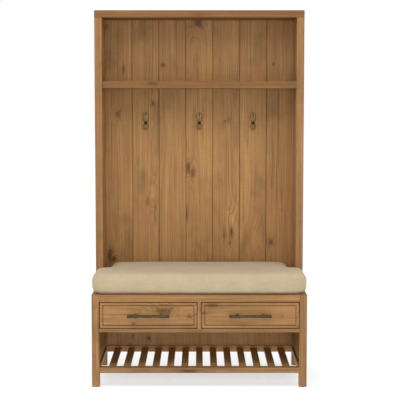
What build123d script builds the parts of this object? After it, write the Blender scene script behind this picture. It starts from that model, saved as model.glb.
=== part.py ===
from build123d import *
import os

# Hall tree with a bench base and an open upper case, in millimetres.
# The base is a mortised frame with two inset drawers, a slatted shoe shelf and a loose T-shaped cushion.
# The upper case stands on the base. It carries a hat shelf, seven V-jointed planks and three coat hooks.
# Frame: +X to the right as seen from the front, +Y to the back, +Z up.
# The origin is on the floor, in the middle of the width and of the depth with the drawer pulls counted.

# ---- driving dimensions ----
WIDTH = 1080.0  # over the legs and over the upper sides
BENCH_DEPTH = 520.0
HEIGHT = 1900.0
BENCH_HEIGHT = 470.0
UPPER_DEPTH = 248.0
STOCK = 38.0  # leg section, side thickness and heavy rails
TOP_THICK = 37.0
PULL_REACH = 32.0  # how far a drawer pull stands out of the front
EASE = 1.2  # eased long edges of solid wood

# ---- heights ----
GLIDE_THICK = 3.0
BOTTOM_RAIL_Z = (73.0, 101.0)  # front and sides; the slats finish flush with it
REAR_RAIL_Z = (77.0, 112.0)  # stands a little above the slats
DECK_Z = (281.0, 299.0)
TOP_RAIL_Z = (434.0, BENCH_HEIGHT)
SHELF_Z = (1501.0, 1539.0)
UPPER_Z = (BENCH_HEIGHT, HEIGHT - TOP_THICK)

# ---- plan ----
HALF = WIDTH / 2
INNER = HALF - STOCK  # half the clear width between the legs
FRONT = (PULL_REACH - BENCH_DEPTH) / 2  # bench front plane
BACK = FRONT + BENCH_DEPTH
REAR_LEG = BACK - STOCK  # front face of the rear legs and of the planks
UPPER_FRONT = BACK - UPPER_DEPTH

# ---- joinery ----
TENON_LONG = 14.0
TENON_THICK = 8.0
TOP_TENON_INSET = (10.0, 6.0)  # from a top rail's lower and upper edges to its tenon
LOW_TENON_INSET = (4.0, 10.0)
TONGUE = 8.0  # how far a board's tongue reaches into its neighbour
TONGUE_THICK = 8.0
SIDE_PANEL_THICK = 20.0
THIN_RAIL = 25.0
BACK_PANEL_THICK = 10.0
BACK_PANEL_SET = 8.0  # how far the bench back stands behind the rear legs' front faces
HOUSING = 6.0  # depth of a plain groove
SEAT_THICK = 20.0
SEAT_TONGUE_DROP = 10.0  # from the seat's top to the middle of its tongue

# ---- slatted shelf ----
SLAT_COUNT = 13
SLAT_PITCH = 73.4
SLAT_WIDTH = 35.0
SLAT_THICK = 16.0
SLAT_TENON = (25.0, 7.0, 8.0)  # width, length, thickness

# ---- planked back ----
PLANK_COUNT = 7
PLANK_THICK = 16.0
PLANK_V = 2.4  # chamfer on each side of a V joint
PLANK_GAP = 0.6  # half the open slot at the bottom of a V joint
PLANK_PITCH = 2 * INNER / PLANK_COUNT
PLANK_TONGUE = (6.0, 5.0)  # length and thickness
BATTEN_Z = ((BENCH_HEIGHT, 540.0), (1285.0, 1385.0), (1793.0, UPPER_Z[1]))
SHELF_SET_BACK = 10.0
SIDE_TENON = (18.0, 10.0)  # shoulder at the front and back, and height

# ---- drawers ----
DIVIDER_THICK = 18.0
REVEAL = 2.8
OPENING = INNER - DIVIDER_THICK / 2
DRAWER_X = (INNER + DIVIDER_THICK / 2) / 2  # centre of a drawer opening
FACE_THICK = 20.0
FACE_BORDER = 13.0
BEAD_GROOVE = 4.0
BEAD_DEPTH = 4.0
BOX_WALL = 12.0
BOX_Z = (307.0, 407.0)
BOX_LONG = 430.0
BOX_BOTTOM_Z = (317.0, 323.0)
SLIDE_GAP = 12.7
SLIDE_LONG = 400.0
SLIDE_Z = 352.0
SLIDE_SET_BACK = FACE_THICK + 4.0
SLIDE_TALL = 45.0
SLIDE_SHEET = 1.2
TAILS = 4  # dovetails at each end of a drawer side
TAIL_ROOT = 0.54  # width of a tail at its root, as a share of their pitch
TAIL_END = 0.74

# ---- pulls ----
PULL_LONG = 212.0
PULL_CENTRES = 128.0
PULL_THICK = 9.0
PULL_WAIST = 6.4  # half height in the middle
PULL_FLARE = 8.4  # half height past the posts
PULL_POST_R = 5.0
PULL_Z = (DECK_Z[1] + TOP_RAIL_Z[0]) / 2

# ---- hooks ----
HOOK_Z = 1319.0  # the plate's waist
HOOK_TOP = 55.0
HOOK_LOBE_Z = -22.0
HOOK_LOBE_R = 14.5
HOOK_PLATE_THICK = 4.0
HOOK_RIM = 2.6  # width of the raised rim round the plate
HOOK_SUNK = 1.6  # how far the plate lies below its rim
HOOK_EASE = 0.5
PRONG_R = 4.0
HOOK_SCREW_Z = (46.0, 26.0)

# ---- screws ----
SCREW_R = 2.0
SCREW_HEAD_R = 4.0
SCREW_HEAD_LONG = 2.4
SCREW_TIP = 4.0
CROSS_RECESS = (4.4, 0.9, 2.4)  # long, wide, and twice the depth
SCREW_LONG = 28.0
PLATE_SCREW_LONG = 20.0
HOLE_EASE = 0.1  # radial room round a screw
JOIN_PLATE = (25.0, 2.5, 110.0)  # width, thickness, height
JOIN_SCREW_Z = (-42.0, -20.0, 20.0, 42.0)
PULL_SCREW_R = 2.0
PULL_SCREW_GRIP = 12.0  # how far a pull's screw runs into its post
ANCHOR_R = 2.5
ANCHOR_LONG = 18.0
ANCHOR_Z = 1828.0

# ---- cushion ----
CUSHION_THICK = 104.0
CUSHION_LIFT_GAP = 0.3
CUSHION_ROOM = 4.0  # clear of the upper case behind the wings and at the back
CUSHION_NECK_ROOM = 15.0  # clear of the upper sides
CUSHION_EDGE = 28.0
CUSHION_CORNER = 46.0

# ---- glides ----
GLIDE_R = 13.0

parts = {}


def block(x, y, z):
    """A box between two limits on each axis."""
    size = [b - a for a, b in (x, y, z)]
    middle = [(a + b) / 2 for a, b in (x, y, z)]
    return Pos(*middle) * Box(*size)


def eased(shape, along, size=EASE):
    """The shape with its straight edges along one axis chamfered."""
    return chamfer(shape.edges().filter_by(along), size)


def around(centre, half):
    return (centre - half, centre + half)


def side_span(side, inner, outer):
    """An X range given by distances from the middle, on the left (-1) or right (+1)."""
    return tuple(sorted((side * inner, side * outer)))


def y_in(a, b):
    """A Y range measured back from the bench front plane."""
    return (FRONT + a, FRONT + b)


def rod(start, axis, radius, length):
    """A round bar from a point along a direction."""
    bar = Cylinder(radius, length, align=(Align.CENTER, Align.CENTER, Align.MIN))
    return Plane(origin=start, z_dir=axis) * bar


SIDES = {"left": -1, "right": 1}


# ---- bench frame: legs and rails ----
def rail_tenon_z(rail_z):
    """Height of a rail's tenon: clear of the panel grooves next to it."""
    below, above = TOP_TENON_INSET if rail_z == TOP_RAIL_Z else LOW_TENON_INSET
    return (rail_z[0] + below, rail_z[1] - above)


def cross_rail(y, z):
    """A rail along X between two legs, with a stub tenon at each end."""
    body = eased(block((-INNER, INNER), y, z), Axis.X)
    middle = (y[0] + y[1]) / 2
    reach = INNER + TENON_LONG
    return body + block((-reach, reach), around(middle, TENON_THICK / 2), rail_tenon_z(z))


def side_rail(side, z):
    """A rail along Y between a front and a rear leg, as thick as the legs."""
    y = (FRONT + STOCK, REAR_LEG)
    body = eased(block(side_span(side, INNER, HALF), y, z), Axis.Y)
    tenon_x = around(side * (INNER + STOCK / 2), TENON_THICK / 2)
    return body + block(tenon_x, (y[0] - TENON_LONG, y[1] + TENON_LONG), rail_tenon_z(z))


def side_panel(side):
    """The flat panel in each end of the bench, tongued into legs and rails."""
    centre = side * (INNER + STOCK / 2)
    y = (FRONT + STOCK, REAR_LEG)
    z = (BOTTOM_RAIL_Z[1], TOP_RAIL_Z[0])
    body = block(around(centre, SIDE_PANEL_THICK / 2), y, z)
    tongue_x = around(centre, SIDE_PANEL_THICK / 4)
    return body + block(tongue_x, (y[0] - TONGUE, y[1] + TONGUE), (z[0] - TONGUE, z[1] + TONGUE))


def seat_board():
    """The fixed board under the cushion, flush with the rails and tongued into them."""
    y = (FRONT + THIN_RAIL, REAR_LEG)
    tongue_z = around(BENCH_HEIGHT - SEAT_TONGUE_DROP, TONGUE_THICK / 2)
    body = block((-INNER, INNER), y, (BENCH_HEIGHT - SEAT_THICK, BENCH_HEIGHT))
    ends = block((-INNER - TONGUE, INNER + TONGUE), (FRONT + STOCK, REAR_LEG), tongue_z)
    clear_of_legs = INNER - TONGUE / 2
    fronts = block((-clear_of_legs, clear_of_legs), (y[0] - TONGUE, y[1] + TONGUE), tongue_z)
    return body + ends + fronts


def drawer_deck():
    """The board under the drawers; its front edge is the thin rail below them."""
    body = block((-INNER, INNER), (FRONT, REAR_LEG + BACK_PANEL_SET), DECK_Z)
    face = INNER + STOCK / 2 - SIDE_PANEL_THICK / 2
    wide = block((-face - HOUSING, face + HOUSING), (FRONT + STOCK, REAR_LEG), DECK_Z)
    return body + wide


def drawer_divider():
    """The upright between the two drawers, let into the deck and up behind the front rail."""
    x = around(0, DIVIDER_THICK / 2)
    body = block(x, (FRONT, REAR_LEG), (DECK_Z[1], TOP_RAIL_Z[0]))
    upper = block(x, (FRONT + THIN_RAIL, REAR_LEG), (DECK_Z[1], BENCH_HEIGHT - SEAT_THICK))
    tongue_y = (FRONT + STOCK / 4, REAR_LEG - STOCK / 2)
    tongue = block(around(0, TONGUE_THICK / 2), tongue_y, (DECK_Z[1] - HOUSING, DECK_Z[1]))
    return body + upper + tongue


def bench_back():
    """The thin panel that closes the drawers and the shoe space at the back."""
    y = (REAR_LEG + BACK_PANEL_SET, REAR_LEG + BACK_PANEL_SET + BACK_PANEL_THICK)
    return block((-INNER - HOUSING, INNER + HOUSING), y, (REAR_RAIL_Z[1] - HOUSING, TOP_RAIL_Z[0] + HOUSING))


def slats():
    """Thirteen slats along Y between the bottom rails, with stub tenons."""
    top = BOTTOM_RAIL_Z[1]
    tenon_wide, tenon_long, tenon_thick = SLAT_TENON
    tenon_z = around(top - SLAT_THICK / 2, tenon_thick / 2)
    made = []
    for i in range(SLAT_COUNT):
        x = (i - (SLAT_COUNT - 1) / 2) * SLAT_PITCH
        y = (FRONT + STOCK, REAR_LEG)
        body = eased(block(around(x, SLAT_WIDTH / 2), y, (top - SLAT_THICK, top)), Axis.Y)
        tenon = block(around(x, tenon_wide / 2), (y[0] - tenon_long, y[1] + tenon_long), tenon_z)
        made.append(body + tenon)
    return made


def leg(side, y):
    return eased(block(side_span(side, INNER, HALF), y, (GLIDE_THICK, BENCH_HEIGHT)), Axis.Z)


def cross_recess():
    """The cross that a screwdriver fits, centred on a screw head's face."""
    long, wide, deep = CROSS_RECESS
    return Box(long, wide, deep) + Box(wide, long, deep)


def screw(head, axis, length):
    """A countersunk screw with a cross recess: the head's face is at the given point."""
    place = Plane(origin=head, z_dir=axis)
    cone = Cone(SCREW_HEAD_R, SCREW_R, SCREW_HEAD_LONG, align=(Align.CENTER, Align.CENTER, Align.MIN))
    shank = Cylinder(SCREW_R, length - SCREW_TIP, align=(Align.CENTER, Align.CENTER, Align.MIN))
    tip = Cone(SCREW_R, SCREW_R / 5, SCREW_TIP, align=(Align.CENTER, Align.CENTER, Align.MIN))
    return place * (cone + shank + Pos(0, 0, length - SCREW_TIP) * tip - cross_recess())


def screw_hole(head, axis, length):
    """The countersunk hole that a screw sits in, with a little room."""
    place = Plane(origin=head, z_dir=axis)
    cone = Cone(SCREW_HEAD_R + HOLE_EASE, SCREW_R + HOLE_EASE, SCREW_HEAD_LONG + HOLE_EASE,
                align=(Align.CENTER, Align.CENTER, Align.MIN))
    shank = Cylinder(SCREW_R + HOLE_EASE, length + 1, align=(Align.CENTER, Align.CENTER, Align.MIN))
    return place * (cone + shank)


def join_plate(side):
    """A flat steel plate let into the back of a rear leg and of the upper side above it."""
    width, thick, tall = JOIN_PLATE
    x = around(side * (INNER + STOCK / 2), width / 2)
    return block(x, (BACK - thick, BACK), around(BENCH_HEIGHT, tall / 2))


def build_bench():
    rails = {
        "front_top_rail": cross_rail((FRONT, FRONT + THIN_RAIL), TOP_RAIL_Z),
        "rear_top_rail": cross_rail((REAR_LEG, REAR_LEG + THIN_RAIL), TOP_RAIL_Z),
        "front_bottom_rail": cross_rail((FRONT, FRONT + STOCK), BOTTOM_RAIL_Z),
        "rear_bottom_rail": cross_rail((REAR_LEG, BACK), REAR_RAIL_Z),
    }
    board = seat_board()
    deck = drawer_deck()
    divider = drawer_divider()
    back = bench_back()
    shoe_slats = slats()
    side_parts = {}
    for name, side in SIDES.items():
        side_parts[f"side_top_rail_{name}"] = side_rail(side, TOP_RAIL_Z)
        side_parts[f"side_bottom_rail_{name}"] = side_rail(side, BOTTOM_RAIL_Z)
        side_parts[f"side_panel_{name}"] = side_panel(side)
    for name, side in SIDES.items():
        holes = list(side_parts.values()) + list(rails.values()) + [back]
        front = leg(side, (FRONT, FRONT + STOCK))
        rear = leg(side, (REAR_LEG, BACK))
        for hole in holes:
            front -= hole
            rear -= hole
        parts[f"front_leg_{name}"] = front
        parts[f"rear_leg_{name}"] = rear - join_plate(side)
        panel = side_parts[f"side_panel_{name}"]
        parts[f"side_top_rail_{name}"] = side_parts[f"side_top_rail_{name}"] - board - panel
        parts[f"side_bottom_rail_{name}"] = side_parts[f"side_bottom_rail_{name}"] - panel
        parts[f"side_panel_{name}"] = panel - deck
    parts["front_top_rail"] = rails["front_top_rail"] - board
    parts["rear_top_rail"] = rails["rear_top_rail"] - board - back
    for name in ("front_bottom_rail", "rear_bottom_rail"):
        rail = rails[name]
        for one in shoe_slats:
            rail -= one
        parts[name] = rail - back
    parts["seat_board"] = board
    parts["drawer_deck"] = deck - divider
    parts["drawer_divider"] = divider
    parts["bench_back_panel"] = back
    parts["shoe_shelf_slats"] = Compound(children=shoe_slats)


# ---- upper case ----
def plank(index):
    """One board of the back: V-jointed front edges, a tongue on its right and a groove on its left."""
    left = -INNER + index * PLANK_PITCH
    right = left + PLANK_PITCH
    first, last = index == 0, index == PLANK_COUNT - 1
    face_left = left - HOUSING if first else left + PLANK_GAP
    face_right = right + HOUSING if last else right - PLANK_GAP
    tongue_long, tongue_thick = PLANK_TONGUE
    tongue_y = around(REAR_LEG + PLANK_THICK / 2 + 1, tongue_thick / 2)
    front = block((face_left, face_right), (REAR_LEG, tongue_y[0]), UPPER_Z)
    edges = front.edges().filter_by(Axis.Z).group_by(Axis.Y)[0].sort_by(Axis.X)
    front = chamfer([edge for edge, plain in ((edges[0], first), (edges[-1], last)) if not plain], PLANK_V)
    back_left = left - HOUSING if first else left
    back_right = right + HOUSING if last else right
    body = front + block((back_left, back_right), (tongue_y[0], REAR_LEG + PLANK_THICK), UPPER_Z)
    if not first:
        body -= block((left - 1, left + tongue_long), tongue_y, UPPER_Z)
    if not last:
        body += block((right - 1, right + tongue_long), tongue_y, UPPER_Z)
    return body


def upper_side(side):
    """A thick side panel that stands on the bench, with a stub tenon up into the top board."""
    body = eased(block(side_span(side, INNER, HALF), (UPPER_FRONT, BACK), UPPER_Z), Axis.Z)
    shoulder, tall = SIDE_TENON
    tenon_x = around(side * (INNER + STOCK / 2), shoulder / 2)
    tenon = block(tenon_x, (UPPER_FRONT + shoulder, BACK - shoulder), (UPPER_Z[1] - 1, UPPER_Z[1] + tall))
    return body + tenon


def build_upper():
    shelf_y = (UPPER_FRONT + SHELF_SET_BACK, REAR_LEG)
    shelf = eased(block((-INNER - TONGUE, INNER + TONGUE), shelf_y, SHELF_Z), Axis.X)
    planks = [plank(i) for i in range(PLANK_COUNT)]
    top = eased(block((-HALF, HALF), (UPPER_FRONT, BACK), (UPPER_Z[1], HEIGHT)), Axis.X)
    for name, side in SIDES.items():
        body = upper_side(side)
        top -= body
        end_plank = planks[0] if side < 0 else planks[-1]
        parts[f"upper_side_{name}"] = body - shelf - end_plank - join_plate(side)
    parts["top_board"] = top
    parts["hat_shelf"] = shelf
    for i, one in enumerate(planks):
        parts[f"back_plank_{i + 1}"] = one
    batten_y = (REAR_LEG + PLANK_THICK, BACK)
    battens = [block((-INNER, INNER), batten_y, z) for z in BATTEN_Z]
    battens[2] -= rod((0, BACK, ANCHOR_Z), (0, -1, 0), ANCHOR_R, ANCHOR_LONG)
    parts["back_battens"] = Compound(children=battens)


# ---- coat hooks ----
def hook_outline(inset):
    """The plate's outline about its waist, drawn in by a distance: a shield above, a round lobe below."""
    half = [(8.5, HOOK_TOP - 1.8), (13.6, HOOK_TOP - 9), (14.6, 34), (14.0, 21), (10.6, 9), (7, 1)]
    half += [(9.5, -7), (13.2, -14), (HOOK_LOBE_R, HOOK_LOBE_Z), (10.8, HOOK_LOBE_Z - 10)]
    other = [(-x, z) for x, z in reversed(half)]
    points = [(0, HOOK_TOP), *half, (0, HOOK_LOBE_Z - HOOK_LOBE_R), *other]
    drawn = []
    for before, (x, z), after in zip(points[-1:] + points, points, points[1:] + points[:1]):
        along = (Vector(*after) - Vector(*before)).normalized()
        drawn.append((x + inset * along.Y, z - inset * along.X))
    return Plane.XZ * make_face(Spline(*drawn, periodic=True))


def hook_plate():
    """The back plate, with its field sunk inside a raised rim."""
    plate = extrude(hook_outline(0), HOOK_PLATE_THICK)  # towards -Y, out of the wall
    plate = chamfer(plate.faces().sort_by(Axis.Y)[0].edges(), HOOK_EASE)
    field = extrude(hook_outline(HOOK_RIM), HOOK_PLATE_THICK + 1)
    return plate - Pos(0, HOOK_SUNK - HOOK_PLATE_THICK, 0) * field


def prong(points, radius, ball, ball_r):
    """A round arm along a path in the YZ plane, with a ball at its end."""
    path = FilletPolyline(*[(0, y, z) for y, z in points], radius=radius)
    section = Plane(origin=path @ 0, z_dir=path % 0) * Circle(PRONG_R)
    return sweep(section, path=path) + Pos(0, *ball) * Sphere(ball_r)


def hook_body():
    """A cast double hook about its waist: a long upper arm and a short lower one."""
    plate = hook_plate()
    upper = prong([(-2.0, 6.0), (-30.0, 9.0), (-46.0, 36.0)], 15.0, (-46.5, 36.8), 6.0)
    lower = prong([(-4.2, -3.0), (-12.0, -35.0), (-31.0, -35.0), (-37.0, -17.0)], 8.0, (-37.3, -16.0), 7.4)
    body = plate + upper + lower
    for z in HOOK_SCREW_Z:
        body -= screw_hole((0, HOOK_SUNK - HOOK_PLATE_THICK, z), (0, 1, 0), SCREW_LONG)
    return body


def build_hooks():
    cast = hook_body()
    screws = []
    places = {"left": -2 * PLANK_PITCH, "middle": 0.0, "right": 2 * PLANK_PITCH}
    for name, x in places.items():
        parts[f"hook_{name}"] = Pos(x, REAR_LEG, HOOK_Z) * cast
        for z in HOOK_SCREW_Z:
            head = (x, REAR_LEG + HOOK_SUNK - HOOK_PLATE_THICK, HOOK_Z + z)
            screws.append(screw(head, (0, 1, 0), SCREW_LONG))
            index = round((x + INNER) / PLANK_PITCH - 0.5) + 1
            hole = screw_hole(head, (0, 1, 0), SCREW_LONG)
            parts[f"back_plank_{index}"] -= hole
            parts["back_battens"] = Compound(children=[s - hole for s in parts["back_battens"].solids()])
    return screws


# ---- joining plates ----
def build_joins():
    """The plates that hold the upper case to the bench, and their screws."""
    plates = []
    screws = []
    for name, side in SIDES.items():
        plate = join_plate(side)
        for z in JOIN_SCREW_Z:
            head = (side * (INNER + STOCK / 2), BACK, BENCH_HEIGHT + z)
            hole = screw_hole(head, (0, -1, 0), PLATE_SCREW_LONG)
            plate -= hole
            parts[f"rear_leg_{name}" if z < 0 else f"upper_side_{name}"] -= hole
            screws.append(screw(head, (0, -1, 0), PLATE_SCREW_LONG))
        plates.append(plate)
    parts["joining_plates"] = Compound(children=plates)
    return screws


# ---- drawers ----
def dovetails(x, y_root, y_end, z):
    """Tails of a drawer side, wider at their ends, across the side's thickness."""
    pitch = (z[1] - z[0]) / TAILS
    made = []
    for i in range(TAILS):
        middle = z[0] + (i + 0.5) * pitch
        root = pitch * TAIL_ROOT / 2
        end = pitch * TAIL_END / 2
        corners = [(y_root, middle - root), (y_end, middle - end)]
        corners += [(y_end, middle + end), (y_root, middle + root)]
        face = Plane.YZ.offset(x[0]) * make_face(Polyline(*corners, close=True))
        made.append(extrude(face, x[1] - x[0]))
    return made


def drawer_face(centre):
    """The inset drawer front with a bead milled round it and its outer edges eased."""
    half = OPENING / 2 - REVEAL
    z = (DECK_Z[1] + REVEAL, TOP_RAIL_Z[0] - REVEAL)
    body = block(around(centre, half), y_in(0, FACE_THICK), z)
    body = chamfer(body.faces().sort_by(Axis.Y)[0].edges(), 1.0)
    cut_y = (FRONT - 1, FRONT + BEAD_DEPTH)
    outer = block(around(centre, half - FACE_BORDER), cut_y, (z[0] + FACE_BORDER, z[1] - FACE_BORDER))
    step = FACE_BORDER + BEAD_GROOVE
    inner = block(around(centre, half - step), cut_y, (z[0] + step, z[1] - step))
    return body - (outer - inner)


def pull_body(centre):
    """A forged bar, slim in the middle and wide past its two round posts, each post on a rosette."""
    run = 12.0  # half the length over which the bar widens
    turn = PULL_CENTRES / 2 - run / 2
    corner = 5.0
    with BuildSketch(Plane.XZ) as outline:
        with BuildLine():
            Line((0, PULL_WAIST), (turn - run, PULL_WAIST))
            Bezier((turn - run, PULL_WAIST), (turn, PULL_WAIST), (turn, PULL_FLARE), (turn + run, PULL_FLARE))
            Line((turn + run, PULL_FLARE), (PULL_LONG / 2, PULL_FLARE))
            Line((PULL_LONG / 2, PULL_FLARE), (PULL_LONG / 2, 0))
            Line((PULL_LONG / 2, 0), (0, 0))
            Line((0, 0), (0, PULL_WAIST))
        make_face()
        mirror(about=Plane.XZ)
        mirror(about=Plane.YZ)
    bar = extrude(outline.sketch, PULL_THICK)
    ends = [e for e in bar.edges().filter_by(Axis.Y) if abs(e.center().X) > PULL_LONG / 2 - 1]
    bar = fillet([e for e in ends if abs(e.center().Z) > 1], corner)
    bar = fillet(bar.faces().sort_by(Axis.Y)[0].edges(), PULL_THICK / 4)
    bar = Pos(0, -PULL_REACH + PULL_THICK, 0) * bar
    for sign in (-1, 1):
        x = sign * PULL_CENTRES / 2
        bar += rod((x, 0, 0), (0, -1, 0), PULL_POST_R, PULL_REACH - PULL_THICK + 1)
        bar += rod((x, 0, 0), (0, -1, 0), PULL_POST_R + 3, 2.5)
        bar -= rod((x, 1, 0), (0, -1, 0), PULL_SCREW_R + HOLE_EASE, PULL_SCREW_GRIP + 3)
    return Pos(centre, FRONT, PULL_Z) * bar


def pull_screws(centre):
    """Two machine screws from inside the box, through both fronts and into the posts."""
    made = []
    head_y = FRONT + FACE_THICK + BOX_WALL
    for sign in (-1, 1):
        x = centre + sign * PULL_CENTRES / 2
        head = rod((x, head_y, PULL_Z), (0, 1, 0), SCREW_HEAD_R, SCREW_HEAD_LONG)
        head -= Plane(origin=(x, head_y + SCREW_HEAD_LONG, PULL_Z), z_dir=(0, 1, 0)) * cross_recess()
        shank = rod((x, head_y, PULL_Z), (0, -1, 0), PULL_SCREW_R, FACE_THICK + BOX_WALL + PULL_SCREW_GRIP)
        made.append(head + shank)
    return made


def channel(wall_x, towards, web, lip, half_tall, y):
    """A slide member: a web over one range of distances from the wall plane, with two lips over another."""
    def span(range_x):
        return tuple(sorted(wall_x + towards * x for x in range_x))
    body = block(span(web), y, around(SLIDE_Z, half_tall))
    for sign in (-1, 1):
        lip_z = sorted((SLIDE_Z + sign * half_tall, SLIDE_Z + sign * (half_tall - SLIDE_SHEET)))
        body += block(span(lip), y, lip_z)
    return body


def build_drawer(name, side):
    centre = side * DRAWER_X
    box_half = OPENING / 2 - SLIDE_GAP
    y0 = FACE_THICK
    front_y, back_y = y_in(y0, y0 + BOX_WALL), y_in(y0 + BOX_LONG - BOX_WALL, y0 + BOX_LONG)
    inside_y = (front_y[1], back_y[0])
    box_front = block(around(centre, box_half), front_y, BOX_Z)
    box_back = block(around(centre, box_half), back_y, BOX_Z)
    bottom = block(around(centre, box_half - BOX_WALL + HOUSING), inside_y, BOX_BOTTOM_Z)
    bottom_y = (inside_y[0] - HOUSING, inside_y[1] + HOUSING)
    bottom += block(around(centre, box_half - BOX_WALL), bottom_y, BOX_BOTTOM_Z)
    for end, sign in (("left", -1), ("right", 1)):
        x = tuple(sorted((centre + sign * (box_half - BOX_WALL), centre + sign * box_half)))
        board = block(x, inside_y, BOX_Z)
        for tail in dovetails(x, front_y[1], front_y[0], BOX_Z):
            board += tail
            box_front -= tail
        for tail in dovetails(x, back_y[0], back_y[1], BOX_Z):
            board += tail
            box_back -= tail
        parts[f"drawer_{name}_side_{end}"] = board - bottom
    face = drawer_face(centre)
    for sign in (-1, 1):
        x = centre + sign * PULL_CENTRES / 2
        hole = rod((x, FRONT - 1, PULL_Z), (0, 1, 0), PULL_SCREW_R + HOLE_EASE, FACE_THICK + BOX_WALL + 2)
        face -= hole
        box_front -= hole
    parts[f"drawer_{name}_face"] = face
    parts[f"drawer_{name}_box_front"] = box_front - bottom
    parts[f"drawer_{name}_back"] = box_back - bottom
    parts[f"drawer_{name}_bottom"] = bottom
    parts[f"drawer_{name}_pull"] = pull_body(centre)
    parts[f"drawer_{name}_pull_screws"] = Compound(children=pull_screws(centre))

    slide_y = y_in(SLIDE_SET_BACK, SLIDE_SET_BACK + SLIDE_LONG)
    fixed = []
    middle = []
    moving = []
    for sign in (-1, 1):
        wall = centre + sign * OPENING / 2
        outer_web = (0.0, SLIDE_SHEET)
        middle_web = (3 * SLIDE_SHEET, 4 * SLIDE_SHEET)
        inner_web = (SLIDE_GAP - SLIDE_SHEET, SLIDE_GAP)
        fixed.append(channel(wall, -sign, outer_web, (0.0, 10.2), SLIDE_TALL / 2, slide_y))
        middle.append(channel(wall, -sign, middle_web, (middle_web[0], 10.8), SLIDE_TALL / 2 - 3.5, slide_y))
        moving.append(channel(wall, -sign, inner_web, (6.4, SLIDE_GAP), SLIDE_TALL / 2 - 7.5, slide_y))
    parts[f"slide_middle_{name}"] = Compound(children=middle)
    parts[f"slide_drawer_{name}"] = Compound(children=moving)
    return fixed


def build_drawers():
    fixed = build_drawer("left", -1) + build_drawer("right", 1)
    parts["slide_cabinet_members"] = Compound(children=fixed)
    packers = []
    face = INNER + STOCK / 2 - SIDE_PANEL_THICK / 2
    for side in SIDES.values():
        y = y_in(STOCK, SLIDE_SET_BACK + SLIDE_LONG)
        packers.append(block(side_span(side, INNER, face), y, around(SLIDE_Z, SLIDE_TALL / 2)))
    parts["slide_packers"] = Compound(children=packers)


# ---- cushion and glides ----
def cushion():
    """A T-shaped box cushion: full width in front of the upper case, narrower between its sides."""
    z = (BENCH_HEIGHT + CUSHION_LIFT_GAP, BENCH_HEIGHT + CUSHION_THICK)
    wing_back = UPPER_FRONT - CUSHION_ROOM
    neck = INNER - CUSHION_NECK_ROOM
    back = REAR_LEG - CUSHION_ROOM
    body = block((-HALF + 1, HALF - 1), (FRONT + 1, wing_back), z)
    body += block((-neck, neck), (0, back), z)
    uprights = body.edges().filter_by(Axis.Z)
    outer = [e for e in uprights if abs(e.center().Y - wing_back) > 1 or abs(e.center().X) > neck + 1]
    body = fillet(outer, CUSHION_CORNER)
    rims = body.faces().sort_by(Axis.Z)[0].edges() + body.faces().sort_by(Axis.Z)[-1].edges()
    return fillet(rims, CUSHION_EDGE)


def build_small():
    parts["seat_cushion"] = cushion()
    glides = []
    for side in SIDES.values():
        for y in (FRONT + STOCK / 2, BACK - STOCK / 2):
            disc = rod((side * (INNER + STOCK / 2), y, 0), (0, 0, 1), GLIDE_R, GLIDE_THICK)
            glides.append(chamfer(disc.faces().sort_by(Axis.Z)[0].edges(), 0.8))
    parts["floor_glides"] = Compound(children=glides)


build_bench()
build_upper()
parts["wood_screws"] = Compound(children=build_hooks() + build_joins())
build_drawers()
build_small()

os.makedirs("parts", exist_ok=True)
for node, shape in parts.items():
    export_step(shape, f"parts/{node}.step")
print(len(parts), "nodes")
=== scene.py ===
import math

import bmesh
import bpy
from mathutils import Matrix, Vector, noise


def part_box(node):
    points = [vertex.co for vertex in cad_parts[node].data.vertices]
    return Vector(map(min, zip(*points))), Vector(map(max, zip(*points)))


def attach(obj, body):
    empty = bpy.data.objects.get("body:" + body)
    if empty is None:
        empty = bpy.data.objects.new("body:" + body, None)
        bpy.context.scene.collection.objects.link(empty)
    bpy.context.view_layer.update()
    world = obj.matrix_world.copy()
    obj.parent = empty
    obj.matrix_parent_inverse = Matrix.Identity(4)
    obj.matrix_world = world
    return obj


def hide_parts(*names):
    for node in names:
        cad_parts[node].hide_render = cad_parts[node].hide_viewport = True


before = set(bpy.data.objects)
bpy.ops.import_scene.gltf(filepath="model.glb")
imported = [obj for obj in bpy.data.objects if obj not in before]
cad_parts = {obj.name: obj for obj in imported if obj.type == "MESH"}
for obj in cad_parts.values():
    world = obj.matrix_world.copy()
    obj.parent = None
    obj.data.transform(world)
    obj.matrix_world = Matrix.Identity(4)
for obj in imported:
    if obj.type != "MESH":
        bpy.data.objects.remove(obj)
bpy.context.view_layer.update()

# ---- studio ----
# A white sweep under an even sky, with a large soft light overhead and a weaker one in front. The
# long lens stands well back and looks slightly down, as furniture is shown.
scene = bpy.context.scene
scene.view_settings.view_transform = "Standard"

lens = bpy.data.cameras.new("studio_camera")
lens.lens = 106.7
lens.sensor_width = 36.0
lens.clip_end = 100.0
camera = bpy.data.objects.new("studio_camera", lens)
camera.location = (0.0034, -6.1105, 1.458)
camera.rotation_euler = (math.radians(90 - 4.978), 0, 0)
scene.collection.objects.link(camera)
scene.camera = camera

sky = bpy.data.worlds.new("studio_sky")
sky.use_nodes = True
sky_nodes = sky.node_tree.nodes
lit_sky = sky_nodes["Background"]
lit_sky.inputs["Strength"].default_value = 0.85
seen_sky = sky_nodes.new("ShaderNodeBackground")
sky_split = sky_nodes.new("ShaderNodeMixShader")
for background in (lit_sky, seen_sky):
    background.inputs["Color"].default_value = (1.0, 1.0, 1.0, 1.0)
seen_directly = sky_nodes.new("ShaderNodeLightPath").outputs["Is Camera Ray"]
for source, target in ((seen_directly, sky_split.inputs[0]),
                       (lit_sky.outputs[0], sky_split.inputs[1]),
                       (seen_sky.outputs[0], sky_split.inputs[2]),
                       (sky_split.outputs[0], sky_nodes["World Output"].inputs[0])):
    sky.node_tree.links.new(source, target)
scene.world = sky

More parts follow.
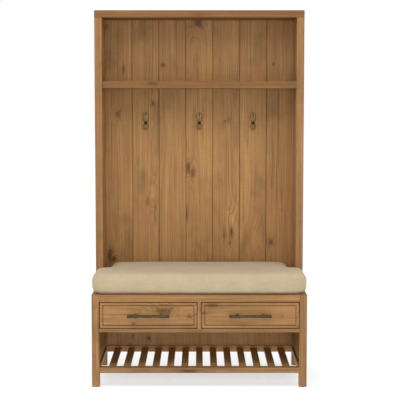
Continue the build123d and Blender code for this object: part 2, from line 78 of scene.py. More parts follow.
softbox_size = (3.0, 2.0)
for name, place, aim, watts in (("top_softbox", (-0.5, -2.0, 3.7), (0, 0, 0.6), 58),
                                ("front_softbox", (0.5, -4.8, 1.3), (0, 0, 1.1), 30)):
    light = bpy.data.lights.new(name, "AREA")
    light.shape = "RECTANGLE"
    light.size, light.size_y = softbox_size
    light.energy = watts
    softbox = bpy.data.objects.new(name, light)
    softbox.location = place
    softbox.rotation_euler = (Vector(aim) - Vector(place)).to_track_quat("-Z", "Y").to_euler()
    scene.collection.objects.link(softbox)

bm = bmesh.new()
bmesh.ops.create_grid(bm, x_segments=1, y_segments=1, size=40)
sweep_mesh = bpy.data.meshes.new("studio_floor")
bm.to_mesh(sweep_mesh)
bm.free()
sweep = bpy.data.objects.new("studio_floor", sweep_mesh)
scene.collection.objects.link(sweep)
sweep_paint = bpy.data.materials.new("studio_floor")
sweep_paint.use_nodes = True
sweep_shader = sweep_paint.node_tree.nodes["Principled BSDF"]
sweep_shader.inputs["Base Color"].default_value = (0.55, 0.55, 0.55, 1.0)
sweep_shader.inputs["Roughness"].default_value = 1.0
sweep_shader.inputs["Specular IOR Level"].default_value = 0.0
sweep_shader.inputs["Emission Color"].default_value = (0.94, 0.97, 1.0, 1.0)
sweep_shader.inputs["Emission Strength"].default_value = 0.6
sweep_mesh.materials.append(sweep_paint)

# ---- legs ----
# Four square legs of solid softwood, mortised for the rails. Like every board here they are brushed
# and finished with a thin matt oil, so rings and knots show as colour and the grain as slight relief.
AXES = {"X": 0, "Y": 1, "Z": 2}


def node(tree, kind, inputs=None, **settings):
    """A shader node with its settings made and each input set or linked."""
    made = tree.nodes.new(kind)
    for name, value in settings.items():
        setattr(made, name, value)
    for key, value in (inputs or {}).items():
        if isinstance(value, bpy.types.NodeSocket):
            tree.links.new(value, made.inputs[key])
        else:
            made.inputs[key].default_value = value
    return made


def calc(tree, operation, *values):
    """The result of a Math node on numbers or sockets."""
    return node(tree, "ShaderNodeMath", dict(enumerate(values)), operation=operation).outputs[0]


def ramp(tree, factor, stops):
    """A colour ramp's colour; stops are (place, (r, g, b)) with linear colours."""
    made = node(tree, "ShaderNodeValToRGB", {0: factor})
    while len(made.color_ramp.elements) < len(stops):
        made.color_ramp.elements.new(0.5)
    for element, (place, colour) in zip(made.color_ramp.elements, stops):
        element.position = place
        element.color = (*colour, 1.0)
    return made.outputs[0]


def remap(tree, value, low, high, to_low=0.0, to_high=1.0):
    """A value eased from one range to another, held at both ends."""
    return node(tree, "ShaderNodeMapRange", {0: value, 1: low, 2: high, 3: to_low, 4: to_high},
                interpolation_type="SMOOTHSTEP", clamp=True).outputs[0]


def mixed(tree, blend, factor, first, second):
    """Two colours mixed."""
    made = node(tree, "ShaderNodeMix", {0: factor, 6: first, 7: second}, data_type="RGBA",
                blend_type=blend)
    return made.outputs[2]


def srgb(red, green, blue):
    """A colour given in display values from 0 to 255, made linear."""
    channels = [channel / 255 for channel in (red, green, blue)]
    return tuple(c / 12.92 if c <= 0.04045 else ((c + 0.055) / 1.055) ** 2.4 for c in channels)


def new_material(name):
    """A node material, its tree and its shader."""
    material = bpy.data.materials.new(name)
    material.use_nodes = True
    return material, material.node_tree, material.node_tree.nodes["Principled BSDF"]


def knot_group():
    """One knot: how far it pushes the grain aside, its hard core, its halo and the distance from it."""
    group = bpy.data.node_groups.new("knot", "ShaderNodeTree")
    for name in ("Point", "Centre", "Spread"):
        group.interface.new_socket(name, in_out="INPUT", socket_type="NodeSocketVector")
    for name in ("Flow", "Core", "Halo", "Reach"):
        group.interface.new_socket(name, in_out="OUTPUT", socket_type="NodeSocketFloat")
    inside = node(group, "NodeGroupInput").outputs
    offset = node(group, "ShaderNodeVectorMath", {0: inside["Point"], 1: inside["Centre"]},
                  operation="SUBTRACT")
    ragged = node(group, "ShaderNodeTexNoise", {"Vector": inside["Point"], "Scale": 70.0, "Detail": 3.0})
    scaled = node(group, "ShaderNodeVectorMath", {0: offset.outputs[0], 1: inside["Spread"]},
                  operation="MULTIPLY")
    reach = node(group, "ShaderNodeVectorMath", {0: scaled.outputs[0]}, operation="LENGTH").outputs["Value"]
    edge = calc(group, "ADD", reach, calc(group, "MULTIPLY_ADD", ragged.outputs[0], 1.3, -0.65))
    flow = calc(group, "EXPONENT", calc(group, "MULTIPLY", calc(group, "MULTIPLY", reach, reach), -0.22))
    node(group, "NodeGroupOutput", {"Flow": flow, "Core": remap(group, edge, 1.15, 0.6),
                                    "Halo": remap(group, edge, 2.8, 0.7), "Reach": edge})
    return group


KNOT = knot_group()


def grain_noise(tree, point, across, along, detail=2.0):
    """Noise drawn out along the grain: so many features a metre across and along it."""
    drawn = node(tree, "ShaderNodeMapping", {"Vector": point, "Scale": (across, across, along)})
    return node(tree, "ShaderNodeTexNoise", {"Vector": drawn.outputs[0], "Scale": 1.0, "Detail": detail,
                                             "Roughness": 0.6})


def board_finish(name, along, thick, centre, half, seed, knots=(), tone=(1.0, 1.0, 1.0), joint=None,
                 bead=None, rows=None):
    """Oiled knotty wood for one board. along is the axis of the grain and thick the axis through the
    board; centre and half are its middle and half its size. Each knot is (across, lengthwise, half
    width, half length, darkness) about the middle, pale where the darkness is negative. joint is half
    the width between V joints, bead the near and far side of a milled line round the face, rows the
    pitch of like strips in one node, and tone a share of red, green and blue."""
    material, tree, shader = new_material(name)
    place = node(tree, "ShaderNodeMapping", {"Vector": node(tree, "ShaderNodeTexCoord").outputs["Object"],
                                             "Location": [-c for c in centre]})
    parts = node(tree, "ShaderNodeSeparateXYZ", {0: place.outputs[0]}).outputs
    wide = ({"X", "Y", "Z"} - {along, thick}).pop()
    across, deep, length = parts[AXES[wide]], parts[AXES[thick]], parts[AXES[along]]
    past_sides, past_ends = (calc(tree, "SUBTRACT", calc(tree, "ABSOLUTE", socket), size)
                             for socket, size in ((across, half[AXES[wide]]), (length, half[AXES[along]])))
    past_edge = calc(tree, "MAXIMUM", past_sides, past_ends)
    edge_across = across
    if rows:
        strip = calc(tree, "FLOOR", calc(tree, "ADD", calc(tree, "DIVIDE", across, rows), 0.5))
        own = node(tree, "ShaderNodeTexWhiteNoise", {"W": strip}, noise_dimensions="1D").outputs["Value"]
        length = calc(tree, "MULTIPLY_ADD", own, 9.0, length)
        across = calc(tree, "MULTIPLY_ADD", own, 0.31, across)
    point = node(tree, "ShaderNodeCombineXYZ", {0: across, 1: deep, 2: length}).outputs[0]
    shift = (seed * 7.31) % 5.0
    moved = node(tree, "ShaderNodeVectorMath", {0: point, 1: (shift, shift * 0.7, shift * 1.9)},
                 operation="ADD").outputs[0]

    pushed, core, halo, reach, pale = 0.0, 0.0, 0.0, 9.0, 0.0
    for u, a, half_u, half_a, dark in knots:
        one = node(tree, "ShaderNodeGroup", node_tree=KNOT)
        tree.links.new(point, one.inputs["Point"])
        one.inputs["Centre"].default_value = (u, 0, a)
        one.inputs["Spread"].default_value = (1 / half_u, 0, 1 / half_a)
        pushed = calc(tree, "MULTIPLY_ADD", one.outputs["Flow"], half_u * 1.2, pushed)
        if dark > 0:
            core = calc(tree, "MAXIMUM", calc(tree, "MULTIPLY", one.outputs["Core"], dark), core)
            halo = calc(tree, "MAXIMUM", calc(tree, "MULTIPLY", one.outputs["Halo"], dark), halo)
            reach = calc(tree, "MINIMUM", one.outputs["Reach"], reach)
        else:
            pale = calc(tree, "MAXIMUM", calc(tree, "MULTIPLY", one.outputs["Core"], -dark), pale)

    rings_per_metre = 230.0
    wander = grain_noise(tree, moved, 2.5, 0.4)
    drift = node(tree, "ShaderNodeSeparateColor", {0: wander.outputs[1]}).outputs
    pith_x = 0.05 * math.sin(seed * 2.3) - 0.045
    pith_y = 0.06 + 0.02 * math.cos(seed * 1.7)
    ring_x = calc(tree, "ADD", across, calc(tree, "MULTIPLY_ADD", drift[0], 0.09, pith_x))
    ring_y = calc(tree, "ADD", deep, calc(tree, "MULTIPLY_ADD", drift[2], 0.07, pith_y))
    pith = node(tree, "ShaderNodeCombineXYZ", {0: ring_x, 1: ring_y}).outputs[0]
    around = node(tree, "ShaderNodeVectorMath", {0: pith}, operation="LENGTH").outputs["Value"]
    jitter = grain_noise(tree, moved, 90.0, 5.0, 3.0).outputs[0]
    around = calc(tree, "MULTIPLY_ADD", jitter, 0.004, calc(tree, "ADD", around, pushed))
    turns = calc(tree, "FRACT", calc(tree, "MULTIPLY", around, rings_per_metre))
    ring = calc(tree, "MULTIPLY", remap(tree, turns, 0.15, 0.9), remap(tree, turns, 1.0, 0.9))

    aside = node(tree, "ShaderNodeCombineXYZ", {0: calc(tree, "MULTIPLY", pushed, 1.6)}).outputs[0]
    bent = node(tree, "ShaderNodeVectorMath", {0: moved, 1: aside}, operation="ADD").outputs[0]
    streak = grain_noise(tree, bent, 120.0, 1.3, 5.0).outputs[0]
    pores = grain_noise(tree, bent, 330.0, 3.0).outputs[0]
    fibre = grain_noise(tree, bent, 1100.0, 22.0).outputs[0]
    saw = grain_noise(tree, moved, 9.0, 210.0).outputs[0]
    patch = grain_noise(tree, moved, 11.0, 1.6).outputs[0]
    blotch = grain_noise(tree, moved, 24.0, 12.0, 3.0).outputs[0]
    smoke = grain_noise(tree, moved, 7.0, 4.0, 3.0).outputs[0]
    depth = calc(tree, "MULTIPLY_ADD", ring, 0.11, -0.28)
    for part, weight in ((streak, 0.62), (patch, 0.36), (blotch, 0.2), (fibre, 0.24), (saw, 0.12)):
        depth = calc(tree, "MULTIPLY_ADD", part, weight, depth)
    depth = calc(tree, "MULTIPLY_ADD", remap(tree, pores, 0.54, 0.7), 0.22, depth)
    if knots:
        depth = calc(tree, "MULTIPLY_ADD", halo, 0.2, depth)
        depth = calc(tree, "MULTIPLY_ADD", pale, -0.25, depth)
    pale_wood, mid_wood, dark_wood, deep_wood = (
        tuple(channel * share for channel, share in zip(srgb(*colour), tone))
        for colour in ((196, 152, 98), (162, 119, 71), (128, 89, 48), (86, 56, 27)))
    wood = ramp(tree, depth, [(0.12, pale_wood), (0.5, mid_wood), (0.8, dark_wood), (1.0, deep_wood)])
    hue = ramp(tree, blotch, [(0.34, (0.95, 1.0, 0.93)), (0.5, (1.0, 1.0, 1.0)), (0.68, (1.04, 0.975, 0.98))])
    wood = mixed(tree, "MULTIPLY", 1.0, wood, hue)
    smoked = remap(tree, smoke, 0.52, 0.72, 0.0, 0.8)
    wood = mixed(tree, "MULTIPLY", smoked, wood, (0.70, 0.72, 0.66, 1.0))
    if knots:
        heart, burl_ring, bark = srgb(72, 44, 22), srgb(108, 71, 38), srgb(66, 40, 19)
        burl = ramp(tree, reach, [(0.0, heart), (0.5, burl_ring), (0.9, bark)])
        wood = mixed(tree, "MIX", core, wood, burl)
    # Painted shade: a narrow band along the face's edges is darkened, as shade where boards meet.
    edge_painted_shade = remap(tree, calc(tree, "MULTIPLY_ADD", jitter, 0.003, past_edge), -0.0025, 0.0008, 0.0, 0.4)
    wood = mixed(tree, "MULTIPLY", edge_painted_shade, wood, (0.62, 0.5, 0.42, 1.0))
    if joint:
        past_joint = calc(tree, "SUBTRACT", calc(tree, "ABSOLUTE", edge_across), joint)
        # Painted shade: the colour darkens towards each V joint.
        joint_painted_shade = remap(tree, past_joint, -0.0030, -0.001, 0.0, 0.12)
        wood = mixed(tree, "MULTIPLY", joint_painted_shade, wood, (0.5, 0.38, 0.3, 1.0))
    if bead:
        # Painted shade: the milled line is darkened.
        line = calc(tree, "MULTIPLY", remap(tree, past_edge, -bead[1] - 0.0025, -bead[1] + 0.0005),
                    remap(tree, past_edge, -bead[0] + 0.002, -bead[0] - 0.0005))
        wood = mixed(tree, "MULTIPLY", calc(tree, "MULTIPLY", line, 0.4), wood, (0.42, 0.3, 0.22, 1.0))
        # Painted shade: a thin strip at the very edge is darkened, standing for the shadow in the gap round
        # the face.
        rim = remap(tree, past_edge, -0.001, -0.0004)
        wood = mixed(tree, "MULTIPLY", rim, wood, (0.3, 0.22, 0.16, 1.0))
    tree.links.new(wood, shader.inputs["Base Color"])
    tree.links.new(remap(tree, depth, 0.1, 0.9, 0.68, 0.54), shader.inputs["Roughness"])
    shader.inputs["Specular IOR Level"].default_value = 0.3
    height = calc(tree, "MULTIPLY_ADD", fibre, -0.5, calc(tree, "MULTIPLY", ring, -0.25))
    height = calc(tree, "MULTIPLY_ADD", pores, -0.4, calc(tree, "MULTIPLY_ADD", saw, 0.3, height))
    bump = node(tree, "ShaderNodeBump", {"Height": height, "Strength": 0.35, "Distance": 0.0008})
    tree.links.new(bump.outputs[0], shader.inputs["Normal"])
    return material


def dress(name, material):
    """Puts a material on a CAD node, in place of what it came with."""
    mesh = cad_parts[name].data
    mesh.materials.clear()
    mesh.materials.append(material)


def dress_board(name, along, thick, seed, **looks):
    """Gives a CAD node the wood of one board, or of a set of like boards."""
    low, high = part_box(name)
    dress(name, board_finish(name, along, thick, (low + high) / 2, (high - low) / 2, seed, **looks))


dress_board("front_leg_left", "Z", "Y", 21)
dress_board("front_leg_right", "Z", "Y", 22, tone=(0.84, 0.82, 0.82))
dress_board("rear_leg_left", "Z", "Y", 23)
dress_board("rear_leg_right", "Z", "Y", 24)

# ---- bench rails ----
# Rails of the same wood run between the legs at the top, and low down where they carry the shoe
# shelf. Each is tenoned into the legs and glued.
dress_board("front_top_rail", "X", "Y", 31, tone=(0.94, 0.93, 0.95))
dress_board("rear_top_rail", "X", "Y", 32)
dress_board("rear_bottom_rail", "X", "Y", 33, tone=(1.2, 1.25, 1.35))
dress_board("front_bottom_rail", "X", "Y", 37, tone=(0.80, 0.81, 0.93),
            knots=[(-0.006, -0.053, 0.006, 0.026, 0.9)])
for seed, side in enumerate(("left", "right"), 41):
    dress_board(f"side_top_rail_{side}", "Y", "X", seed)
    dress_board(f"side_bottom_rail_{side}", "Y", "X", seed + 2)

# ---- bench panels ----
# Flat boards close the ends and the back of the bench. They sit in grooves, free to shrink and swell.
dress_board("side_panel_left", "Z", "X", 51)
dress_board("side_panel_right", "Z", "X", 52)
panel_low, panel_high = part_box("bench_back_panel")
panel_knots = [(-0.379, 0.113, 0.006, 0.010, 0.6), (-0.274, 0.151, 0.010, 0.014, 0.7),
               (-0.361, 0.162, 0.005, 0.009, 0.5)]
panel_middle = (panel_low.z + panel_high.z) / 2
# Painted light: the back panel's tone is lifted well above the other boards' to stand for light in the shaded
# shoe space.
dress_board("bench_back_panel", "Z", "Y", 64, tone=(1.4, 1.52, 1.8),
            knots=[(x, z - panel_middle, *rest) for x, z, *rest in panel_knots])

# ---- shoe shelf slats ----
# Thirteen thin slats run front to back with gaps between, each let into the front and rear rails.
slat_pitch = 0.0734
dress_board("shoe_shelf_slats", "Y", "Z", 71, rows=slat_pitch, tone=(0.98, 1.14, 1.15))

# ---- drawer housing ----
# A deck under the drawers, an upright between them, and packing strips that the slides screw to.
dress_board("drawer_deck", "X", "Z", 62, tone=(0.86, 0.94, 1.06))
dress_board("drawer_divider", "Z", "Y", 63)
dress_board("slide_packers", "Y", "X", 65)

# ---- drawer boxes ----
# Plain boxes of paler wood, dovetailed at the corners, with a thin bottom let into a groove.
pale_box = (1.25, 1.32, 1.5)
for seed, side in enumerate(("left", "right"), 81):
    for part in ("box_front", "back"):
        dress_board(f"drawer_{side}_{part}", "X", "Y", seed + 4, tone=pale_box)
    for part in ("side_left", "side_right"):
        dress_board(f"drawer_{side}_{part}", "Y", "X", seed + 6, tone=pale_box)
    dress_board(f"drawer_{side}_bottom", "X", "Z", seed + 8, tone=pale_box)

# ---- drawer faces ----
# One knotty board each, with a milled line round a plain border. Painted shade darkens the line, a
# band along the edges and a thin strip at the very edge, where the gap round the drawer lies.
face_knots = {
    "left": [(0.022, 0.074, 0.012, 0.034, 0.65), (0.012, 0.098, 0.008, 0.018, 0.4),
             (0.054, 0.080, 0.006, 0.03, 0.4), (-0.044, -0.075, 0.006, 0.008, 0.7),
             (-0.002, 0.205, 0.008, 0.008, 0.7)],
    "right": [(0.050, -0.190, 0.010, 0.030, 0.7), (0.012, -0.232, 0.006, 0.012, 0.6),
              (-0.004, 0.16, 0.005, 0.008, 0.4)],
}
for seed, side in enumerate(("left", "right"), 101):
    dress_board(f"drawer_{side}_face", "X", "Y", seed, tone=(0.92, 0.91, 0.90), knots=face_knots[side],
                bead=(0.013, 0.017))

# ---- drawer slides ----
# Three-part runners of folded, zinc-plated steel sheet, dull with a little oil.


def metal_finish(name, colour, dark, rough, scale=160.0, metallic=1.0):
    """Metal with a cloudy finish, darker and duller where the cloud is thin."""
    material, tree, shader = new_material(name)
    point = node(tree, "ShaderNodeTexCoord").outputs["Object"]
    cloud = node(tree, "ShaderNodeTexNoise", {"Vector": point, "Scale": scale, "Detail": 4.0}).outputs[0]
    fine = node(tree, "ShaderNodeTexNoise", {"Vector": point, "Scale": scale * 8, "Detail": 2.0}).outputs[0]
    tree.links.new(ramp(tree, cloud, [(0.3, dark), (0.7, colour)]), shader.inputs["Base Color"])
    tree.links.new(remap(tree, cloud, 0.3, 0.7, rough + 0.15, rough - 0.05), shader.inputs["Roughness"])
    shader.inputs["Metallic"].default_value = metallic
    bump = node(tree, "ShaderNodeBump", {"Height": fine, "Strength": 0.2, "Distance": 0.0002})
    tree.links.new(bump.outputs[0], shader.inputs["Normal"])
    return material


steel = metal_finish("zinc_steel", srgb(200, 202, 205), srgb(160, 162, 166), 0.35)
dress("slide_cabinet_members", steel)
for side in ("left", "right"):
    dress(f"slide_middle_{side}", steel)
    dress(f"slide_drawer_{side}", steel)

# ---- drawer pulls ----
# Forged bar pulls in aged brass, thick and rounded at the ends. Each is held by two screws.
brass = metal_finish("aged_brass", srgb(84, 70, 42), srgb(62, 48, 26), 0.65, 90.0, 0.4)
for side in ("left", "right"):
    dress(f"drawer_{side}_pull", brass)
    dress(f"drawer_{side}_pull_screws", steel)

# ---- seat board ----
# A wide board that closes the bench top, under the cushion.
dress_board("seat_board", "X", "Z", 61)

# ---- seat cushion ----
# A loose pad of soft foam in an oatmeal linen cover. Its wings pass in front of the upper sides, and
# the cover is drawn under and sewn to its base just above the seat.
seat_low, seat_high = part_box("seat_cushion")
upper_side_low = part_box("upper_side_right")[0]
wing_x = seat_high.x + 0.010
wing_y = upper_side_low.y - 0.006
neck_x = upper_side_low.x - 0.024
front_y = seat_low.y - 0.003
back_y = seat_high.y
base_z = seat_low.z + 0.0002
crown_z = seat_high.z + 0.0005
top_round = 0.040
base_round = 0.034

bm = bmesh.new()
outline = [(-wing_x, front_y), (wing_x, front_y), (wing_x, wing_y), (neck_x, wing_y),
           (neck_x, back_y), (-neck_x, back_y), (-neck_x, wing_y), (-wing_x, wing_y)]
bm.faces.new([bm.verts.new((x, y, base_z)) for x, y in outline])
for x, y, corner_round in ((wing_x, front_y, 0.075), (wing_x, wing_y, 0.040), (neck_x, wing_y, 0.025),
                           (neck_x, back_y, 0.060)):
    corners = [vert for vert in bm.verts
               if (Vector((abs(vert.co.x), vert.co.y)) - Vector((x, y))).length < 1e-5]
    bmesh.ops.bevel(bm, geom=corners, affect="VERTICES", offset=corner_round, segments=8, profile=0.5,
                    material=-1)
grown = bmesh.ops.extrude_face_region(bm, geom=bm.faces[:])
raised = [item for item in grown["geom"] if isinstance(item, bmesh.types.BMVert)]
bmesh.ops.translate(bm, verts=raised, vec=(0, 0, crown_z - base_z))
bmesh.ops.recalc_face_normals(bm, faces=bm.faces[:])
top_rim = [edge for edge in bm.edges if all(vert.co.z > crown_z - 1e-6 for vert in edge.verts)]
bmesh.ops.bevel(bm, geom=top_rim, affect="EDGES", offset=top_round, segments=8, profile=0.5,
                material=-1)
base_rim = [edge for edge in bm.edges if all(vert.co.z < base_z + 1e-6 for vert in edge.verts)]
bmesh.ops.bevel(bm, geom=base_rim, affect="EDGES", offset=base_round, segments=6, profile=0.5,
                material=-1)
bmesh.ops.triangulate(bm, faces=[face for face in bm.faces if len(face.verts) > 4])
pad_mesh = bpy.data.meshes.new("seat_cushion_cover")
bm.to_mesh(pad_mesh)
bm.free()
pad = bpy.data.objects.new("seat_cushion_cover", pad_mesh)
scene.collection.objects.link(pad)


def applied(piece):
    """Makes a piece's modifiers permanent."""
    solid = piece.evaluated_get(bpy.context.evaluated_depsgraph_get())
    mesh = bpy.data.meshes.new_from_object(solid)
    old = piece.data
    piece.modifiers.clear()
    piece.data = mesh
    bpy.data.meshes.remove(old)


remesh = pad.modifiers.new("even_mesh", "REMESH")
remesh.mode = "VOXEL"
remesh.voxel_size = 0.008
applied(pad)
relaxed = [vert.co.copy() for vert in pad.data.vertices]

cloth = pad.modifiers.new("cover", "CLOTH")
cloth.settings.quality = 4
cloth.settings.use_pressure = True
cloth.settings.uniform_pressure_force = 4.0
cloth.settings.effector_weights.gravity = 0.0
inflating_frames = 20
scene.frame_start, scene.frame_end = 1, inflating_frames
for step in range(1, inflating_frames + 1):
    scene.frame_set(step)
applied(pad)
scene.frame_set(1)

seam_z = base_z + 0.013
swell = 0.009  # how far the filling may push the cover out
edge_swell = 0.45  # the share of it that is left at the rim of the top
swell_reach = 0.20  # from the rim to the full swell
held_height = 0.02  # the lowest part of the cover, held in by the seam
middle_y = (front_y + back_y) / 2
for vert, start in zip(pad.data.vertices, relaxed):
    move = vert.co - start
    free = min(max((start.z - base_z) / held_height, 0.0), 1.0)
    inset = min((back_y - front_y) / 2 - abs(start.y - middle_y), wing_x - abs(start.x)) / swell_reach
    limit = swell
    if start.z > crown_z - 0.01:
        limit *= edge_swell + (1 - edge_swell) * min(max(inset, 0.0), 1.0)
    if move.length > limit:
        move = move * (limit / move.length)
    wave = noise.noise(start * 9.0) * 0.0009 + noise.noise(start * 28.0) * 0.0003
    place = start + (move + move.normalized() * wave) * free
    vert.co = (place.x, place.y, max(place.z, base_z))
pad.data.update()

subdivision = pad.modifiers.new("smooth_cover", "SUBSURF")
subdivision.levels = 1
subdivision.render_levels = 1
applied(pad)
for vert in pad.data.vertices:
    vert.co.z = max(vert.co.z, base_z)
for polygon in pad.data.polygons:
    polygon.use_smooth = True

linen, tree, shader = new_material("cushion_linen")
point = node(tree, "ShaderNodeTexCoord").outputs["Object"]
parts = node(tree, "ShaderNodeSeparateXYZ", {0: point}).outputs
normal = node(tree, "ShaderNodeNewGeometry").outputs["Normal"]
facing = node(tree, "ShaderNodeSeparateXYZ", {0: normal}).outputs
end_face = calc(tree, "GREATER_THAN", calc(tree, "ABSOLUTE", facing[0]), 0.7)
down_cover = calc(tree, "ADD", parts[1], parts[2])
warp_way, weft_way = (
    calc(tree, "MULTIPLY_ADD", end_face, calc(tree, "SUBTRACT", at_end, elsewhere), elsewhere)
    for at_end, elsewhere in ((parts[1], parts[0]), (parts[2], down_cover)))
cloth_point = node(tree, "ShaderNodeCombineXYZ", {0: warp_way, 1: weft_way}).outputs[0]
thread_pitch = 0.0013
threads = []
for way, other in ((warp_way, weft_way), (weft_way, warp_way)):
    thread = calc(tree, "FLOOR", calc(tree, "DIVIDE", other, thread_pitch))
    flip = calc(tree, "MULTIPLY", calc(tree, "MODULO", thread, 2.0), 0.5)
    turn = calc(tree, "ADD", calc(tree, "DIVIDE", way, thread_pitch), flip)
    threads.append(calc(tree, "SINE", calc(tree, "MULTIPLY", turn, 2 * math.pi)))
weave = calc(tree, "MULTIPLY_ADD", calc(tree, "MAXIMUM", threads[0], threads[1]), 0.5, 0.5)
slubs = []
for across, along in ((14.0, 420.0), (420.0, 14.0)):
    drawn = node(tree, "ShaderNodeMapping", {"Vector": cloth_point, "Scale": (across, along, 1.0)})
    slub = node(tree, "ShaderNodeTexNoise", {"Vector": drawn.outputs[0], "Scale": 1.0, "Detail": 2.0})
    slubs.append(slub.outputs[0])
fade = node(tree, "ShaderNodeTexNoise", {"Vector": point, "Scale": 9.0, "Detail": 3.0}).outputs[0]
fuzz = node(tree, "ShaderNodeTexNoise", {"Vector": point, "Scale": 900.0, "Detail": 2.0}).outputs[0]
tint = calc(tree, "MULTIPLY_ADD", slubs[0], 0.26, calc(tree, "MULTIPLY", slubs[1], 0.16))
tint = calc(tree, "MULTIPLY_ADD", fade, 0.22, tint)
tint = calc(tree, "MULTIPLY_ADD", weave, 0.12, tint)
flax = ramp(tree, tint, [(0.16, srgb(162, 143, 115)), (0.40, srgb(182, 164, 133)),
                         (0.66, srgb(206, 191, 163))])
near_seam = calc(tree, "ABSOLUTE", calc(tree, "SUBTRACT", parts[2], seam_z))
stitched = remap(tree, near_seam, 0.0022, 0.0004, 0.0, 0.5)
flax = mixed(tree, "MULTIPLY", stitched, flax, (0.55, 0.48, 0.4, 1.0))
tree.links.new(flax, shader.inputs["Base Color"])
tree.links.new(remap(tree, fuzz, 0.3, 0.7, 0.85, 0.95), shader.inputs["Roughness"])
shader.inputs["Specular IOR Level"].default_value = 0.15
shader.inputs["Sheen Weight"].default_value = 0.15
shader.inputs["Sheen Roughness"].default_value = 0.5
height = calc(tree, "MULTIPLY_ADD", slubs[0], 0.5, calc(tree, "MULTIPLY_ADD", slubs[1], 0.3, weave))
bump = node(tree, "ShaderNodeBump", {"Height": height, "Strength": 0.5, "Distance": 0.0006})
tree.links.new(bump.outputs[0], shader.inputs["Normal"])
pad.data.materials.clear()
pad.data.materials.append(linen)
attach(pad, "cushion")
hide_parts("seat_cushion")

# ---- upper sides ----
# Two thick boards stand on the bench behind the cushion's wings and carry the top board.
dress_board("upper_side_left", "Z", "X", 11)
dress_board("upper_side_right", "Z", "X", 12, tone=(1.0, 1.06, 1.2))

# ---- back planks ----
# Seven tongued boards run from the seat to the top board. Their meeting edges are chamfered, so a
# V-shaped line shows at each joint.
plank_count = 7
plank_pitch = (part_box("upper_side_right")[0].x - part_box("upper_side_left")[1].x) / plank_count
plank_low, plank_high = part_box("back_plank_4")
plank_knots = {
    1: [(0.027, 0.444, 0.004, 0.020, 0.9), (-0.065, 0.660, 0.008, 0.018, 0.5),
        (-0.004, 0.200, 0.013, 0.018, 0.55), (-0.052, -0.560, 0.010, 0.034, 1.3),
        (-0.032, -0.580, 0.013, 0.015, 1.3)],
    2: [(0.039, 0.258, 0.006, 0.010, 1.1), (0.042, 0.184, 0.006, 0.022, 0.3),
        (0.039, -0.224, 0.010, 0.042, -0.8), (0.008, -0.267, 0.010, 0.020, 0.45),
        (0.049, -0.330, 0.004, 0.045, 0.4)],
    3: [(-0.050, 0.460, 0.007, 0.008, 1.2), (0.050, 0.380, 0.003, 0.020, 0.3)],
    4: [(-0.007, 0.684, 0.020, 0.024, 0.9), (-0.060, -0.084, 0.009, 0.028, 0.85),
        (-0.036, -0.113, 0.010, 0.022, 0.8), (-0.069, -0.337, 0.006, 0.024, 0.7)],
    5: [(-0.006, 0.160, 0.006, 0.006, 0.6), (0.012, 0.170, 0.005, 0.020, 0.4),
        (0.032, -0.364, 0.012, 0.030, -0.6), (0.030, -0.435, 0.008, 0.020, 0.9),
        (-0.008, -0.456, 0.006, 0.022, 0.6), (0.022, -0.494, 0.006, 0.012, 0.5)],
    6: [(0.010, -0.480, 0.020, 0.06, -0.3)],
    7: [(-0.035, 0.465, 0.005, 0.006, 0.8), (-0.049, -0.489, 0.010, 0.018, 0.75),
        (-0.040, -0.180, 0.006, 0.020, 0.3)],
}
plank_tones = {1: 1.0, 2: 0.97, 3: 0.94, 4: 1.0, 5: 0.95, 6: 0.98, 7: 0.95}
plank_half = (plank_high - plank_low) / 2
plank_half.x = plank_pitch / 2 + 0.02  # clear of the joints, so that no edge shade falls on them
plank_centre = (plank_low + plank_high) / 2
for number in range(1, plank_count + 1):
    middle = Vector(((number - (plank_count + 1) / 2) * plank_pitch, plank_centre.y, plank_centre.z))
    name = f"back_plank_{number}"
    dress(name, board_finish(name, "Z", "Y", middle, plank_half, number, knots=plank_knots[number],
                             tone=(plank_tones[number],) * 3, joint=plank_pitch / 2))

# ---- back battens ----
# Three cross boards are screwed behind the planks and hold them flat.
dress_board("back_battens", "X", "Y", 15)

# ---- hat shelf ----
# A thick board housed between the sides, set back a little from their front edges.
dress_board("hat_shelf", "X", "Y", 14, tone=(0.57, 0.49, 0.38), knots=[(0.006, -0.242, 0.006, 0.016, 1.4)])

# ---- top board ----
# The widest and heaviest board caps the sides and hides their end grain.
dress_board("top_board", "X", "Y", 13, tone=(0.57, 0.48, 0.37))
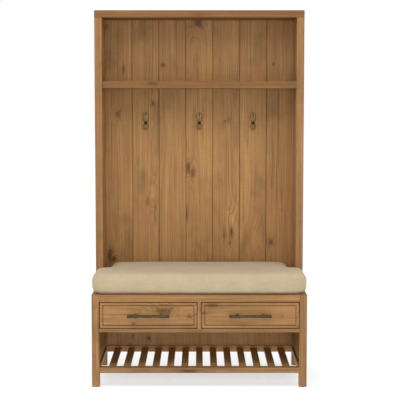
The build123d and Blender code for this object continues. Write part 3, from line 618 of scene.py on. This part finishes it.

# ---- coat hooks ----
# Cast double hooks in the same aged brass, each on a slim plate with two screws. Painted shade darkens
# the raised rim round the paler sunk field, painted shadow darkens the waist under the upper prong,
# and the ball ends are rubbed bright by coats.
hook_waist_z = 1.319
for place in ("left", "middle", "right"):
    hook_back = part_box(f"hook_{place}")[1].y
    finish, tree, shader = new_material(f"hook_brass_{place}")
    point = node(tree, "ShaderNodeTexCoord").outputs["Object"]
    parts = node(tree, "ShaderNodeSeparateXYZ", {0: point}).outputs
    out = calc(tree, "SUBTRACT", hook_back, parts[1])
    from_waist = calc(tree, "ABSOLUTE", calc(tree, "SUBTRACT", parts[2], hook_waist_z))
    cloud = node(tree, "ShaderNodeTexNoise", {"Vector": point, "Scale": 260.0, "Detail": 4.0}).outputs[0]
    patina_and_painted_shade = ramp(tree, cloud, [(0.3, srgb(144, 108, 62)), (0.7, srgb(182, 144, 92))])
    # Painted shade: a dark band on the raised rim outlines the plate.
    rim = calc(tree, "MULTIPLY", remap(tree, out, 0.0028, 0.0034), remap(tree, out, 0.0060, 0.0048))
    patina_and_painted_shade = mixed(tree, "MIX", rim, patina_and_painted_shade, (*srgb(72, 46, 20), 1.0))
    # Painted shadow: a dark patch at the waist stands for the shadow under the upper prong's root.
    root = calc(tree, "MULTIPLY", remap(tree, from_waist, 0.010, 0.005), remap(tree, out, 0.030, 0.022))
    patina_and_painted_shade = mixed(tree, "MIX", root, patina_and_painted_shade, (*srgb(44, 26, 10), 1.0))
    rubbed = remap(tree, out, 0.028, 0.036)
    worn = ramp(tree, cloud, [(0.3, srgb(112, 98, 62)), (0.7, srgb(152, 136, 94))])
    patina_and_painted_shade = mixed(tree, "MIX", rubbed, patina_and_painted_shade, worn)
    tree.links.new(patina_and_painted_shade, shader.inputs["Base Color"])
    tree.links.new(remap(tree, cloud, 0.3, 0.7, 0.68, 0.5), shader.inputs["Roughness"])
    shader.inputs["Metallic"].default_value = 0.6
    bump = node(tree, "ShaderNodeBump", {"Height": cloud, "Strength": 0.25, "Distance": 0.0004})
    tree.links.new(bump.outputs[0], shader.inputs["Normal"])
    dress(f"hook_{place}", finish)

# ---- fixings ----
# Steel plates join the upper case to the bench, and bronzed screws hold the plates and the hooks.
dress("joining_plates", steel)
dress("wood_screws", metal_finish("bronzed_screws", srgb(74, 56, 32), srgb(48, 34, 18), 0.5, 90.0, 0.7))

# ---- floor glides ----
# Thin discs of grey nylon under the legs keep them off the floor.
nylon, tree, shader = new_material("glide_nylon")
point = node(tree, "ShaderNodeTexCoord").outputs["Object"]
grit = node(tree, "ShaderNodeTexNoise", {"Vector": point, "Scale": 400.0}).outputs[0]
speckle = ramp(tree, grit, [(0.3, srgb(70, 66, 62)), (0.7, srgb(96, 92, 86))])
tree.links.new(speckle, shader.inputs["Base Color"])
tree.links.new(remap(tree, grit, 0.3, 0.7, 0.5, 0.65), shader.inputs["Roughness"])
dress("floor_glides", nylon)
